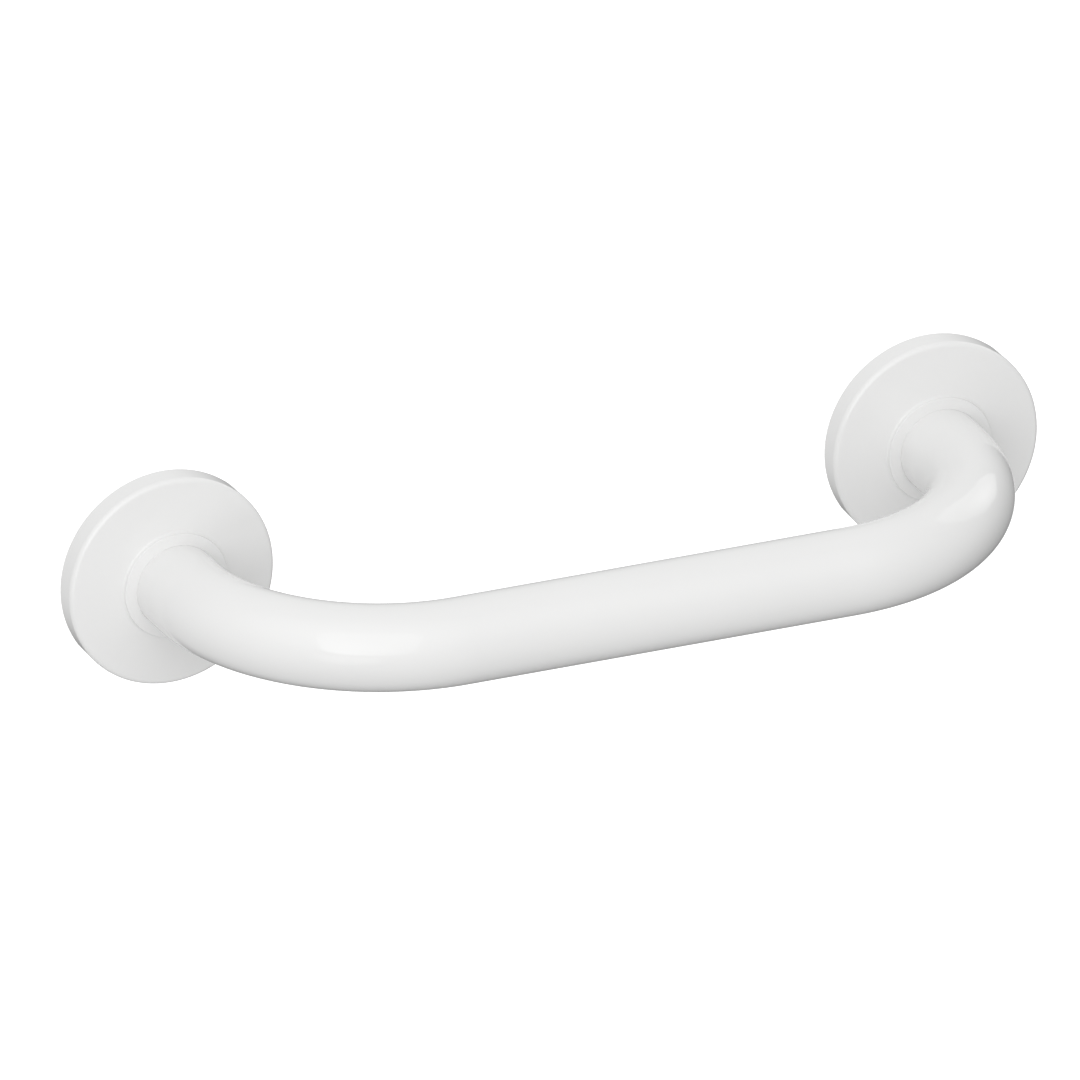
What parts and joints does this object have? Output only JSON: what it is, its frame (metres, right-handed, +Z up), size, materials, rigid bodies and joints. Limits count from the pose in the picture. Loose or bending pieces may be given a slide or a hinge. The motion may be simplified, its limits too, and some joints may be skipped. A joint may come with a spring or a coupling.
{
  "type": "grab bar",
  "caption": "White bath grab bar: a bent tube with a straight grip, welded into round wall plates under moulded covers.",
  "frame": {"origin": "on the wall plane, midway between the centres of the two fixing plates", "axes": "+X along the bar to its right end, +Y into the wall, so the bar stands out towards -Y, +Z up"},
  "size_m": [0.38, 0.115, 0.08],
  "materials": {
    "white_coat": "smooth gloss white coat on steel",
    "white_plastic": "polished moulded white plastic"
  },
  "bodies": {
    "root": {"bar_tube": "white_coat", "left_cover": "white_plastic", "right_cover": "white_plastic", "left_fixing_plate": "white_coat", "right_fixing_plate": "white_coat"}
  },
  "joints": []
}
